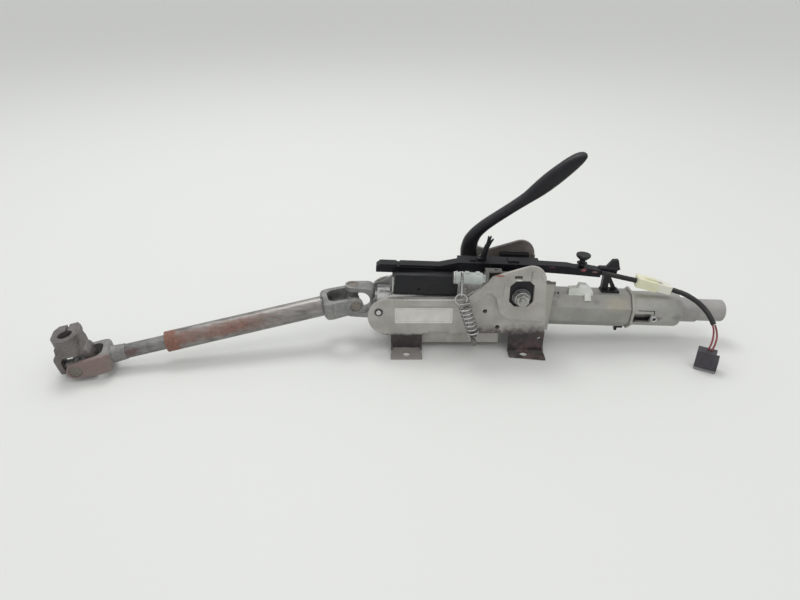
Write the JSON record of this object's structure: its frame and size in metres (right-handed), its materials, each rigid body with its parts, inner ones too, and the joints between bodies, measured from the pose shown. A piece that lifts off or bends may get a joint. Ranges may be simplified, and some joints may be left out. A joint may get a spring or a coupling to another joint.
{
  "type": "steering column",
  "caption": "Tilt and reach adjustable steering column with clamp lever, balance spring, cable duct, sliding intermediate shaft and folding universal joints.",
  "frame": {"origin": "centre of the four mounting holes, on the mounting plane", "axes": "+X to the steering wheel end, +Y to the lever side, +Z from the mounting plane to the column"},
  "size_m": [0.8398, 0.1678, 0.2353],
  "materials": {
    "bracket_paint": "satin grey, rusted feet",
    "column_paint": "satin grey",
    "zinc": "zinc plated",
    "spring_wire": "drawn wire",
    "bearing_steel": "ground",
    "joint_steel": "forged, surface rust",
    "rusty_tube": "drawn tube, rust film",
    "spindle_steel": "turned",
    "black_plastic": "grained",
    "sheath": "taped sheath",
    "lead": "dark red insulation",
    "plug_plastic": "moulded",
    "ivory_plastic": "moulded",
    "milk_plastic": "translucent",
    "sage_plastic": "moulded"
  },
  "bodies": {
    "bracket": {"bracket_channel": "bracket_paint", "cheek_near": "bracket_paint", "cheek_far": "bracket_paint", "pivot_pins": "zinc", "balance_spring": "spring_wire"},
    "swing_arm": {"guide_tube": "column_paint", "swing_plates": "zinc", "front_bulkhead": "zinc", "bearing_cup": "zinc", "pivot_bushes": "zinc", "front_bearing_outer": "bearing_steel", "front_bearing_balls": "bearing_steel", "guide_liners": "milk_plastic", "side_shield": "black_plastic", "hanger_rod": "zinc", "spring_sleeve": "sage_plastic", "spring_link": "spring_wire", "clamp_bolt": "zinc", "clamp_nut": "zinc", "clamp_washers": "zinc", "friction_pads": "black_plastic", "fixed_cam": "zinc"},
    "lever": {"moving_cam": "zinc", "lever_arm": "zinc", "lever_grip": "black_plastic"},
    "jacket": {"jacket_tube": "column_paint", "guide_rail": "column_paint", "end_flange": "column_paint", "lock_housing": "column_paint", "upper_bearing_outer": "bearing_steel", "upper_bearing_balls": "bearing_steel", "top_clip": "milk_plastic", "bottom_clip": "black_plastic", "cable_duct": "black_plastic", "push_clip": "black_plastic", "duct_support": "black_plastic", "prong_clip": "black_plastic", "inline_connector": "ivory_plastic", "harness_cable": "sheath", "plug_wire_a": "lead", "plug_wire_b": "lead", "plug": "plug_plastic"},
    "lower_spindle": {"spindle_yoke": "joint_steel", "spindle_cups": "joint_steel", "lower_spindle": "spindle_steel", "front_bearing_inner": "bearing_steel"},
    "upper_spindle": {"upper_spindle": "spindle_steel", "upper_bearing_inner": "bearing_steel"},
    "upper_cross": {"upper_cross": "joint_steel"},
    "intermediate_shaft": {"tube_yoke": "joint_steel", "tube_cups": "joint_steel", "intermediate_tube": "rusty_tube", "slide_sleeve": "milk_plastic"},
    "lower_shaft": {"lower_shaft": "joint_steel", "shaft_fork": "joint_steel", "fork_cups": "joint_steel"},
    "lower_cross": {"lower_cross": "joint_steel"},
    "pinch_yoke": {"pinch_yoke": "joint_steel", "pinch_cups": "joint_steel"}
  },
  "joints": [
    {"name": "tilt", "type": "hinge", "parent": "bracket", "child": "swing_arm", "pos_m": [-0.11, 0, 0.057], "axis": [0, -1, 0], "range_deg": [0, 3.2], "deforming": ["balance_spring"]},
    {"name": "clamp_lever", "type": "hinge", "parent": "swing_arm", "child": "lever", "pos_m": [0.06602, 0, 0.08157], "axis": [0, 1, 0], "range_deg": [0, 45]},
    {"name": "reach", "type": "slide", "parent": "swing_arm", "child": "jacket", "axis": [0.9993, 0, -0.0366], "range_m": [-0.025, 0.025]},
    {"name": "steer", "type": "hinge", "parent": "swing_arm", "child": "lower_spindle", "pos_m": [-0.11, 0, 0.057], "axis": [0.9993, 0, -0.0366], "continuous": true},
    {"name": "steer_upper", "type": "hinge", "parent": "jacket", "child": "upper_spindle", "pos_m": [0.26974, 0, 0.04308], "axis": [0.9993, 0, -0.0366], "continuous": true},
    {"name": "upper_yaw", "type": "hinge", "parent": "lower_spindle", "child": "upper_cross", "pos_m": [-0.14438, 0, 0.05826], "axis": [0.0366, 0, 0.9993], "range_deg": [-30, 12]},
    {"name": "upper_pitch", "type": "hinge", "parent": "upper_cross", "child": "intermediate_shaft", "pos_m": [-0.14438, 0, 0.05826], "axis": [0.2421, -0.9702, -0.0089], "range_deg": [-25, 12]},
    {"name": "shaft_slide", "type": "slide", "parent": "intermediate_shaft", "child": "lower_shaft", "axis": [-0.9629, -0.2392, -0.125], "range_m": [-0.03, 0.03]},
    {"name": "lower_fold", "type": "hinge", "parent": "lower_shaft", "child": "lower_cross", "pos_m": [-0.4745, -0.082, 0.0154], "axis": [0.2421, -0.9702, -0.0089], "range_deg": [0, 70]},
    {"name": "lower_swivel", "type": "hinge", "parent": "lower_cross", "child": "pinch_yoke", "pos_m": [-0.4745, -0.082, 0.0154], "axis": [-0.9581, -0.2377, -0.1596], "range_deg": [-12, 12]}
  ],
  "couplings": [
    {"joint": "steer_upper", "follows": "steer", "ratio": 1}
  ]
}
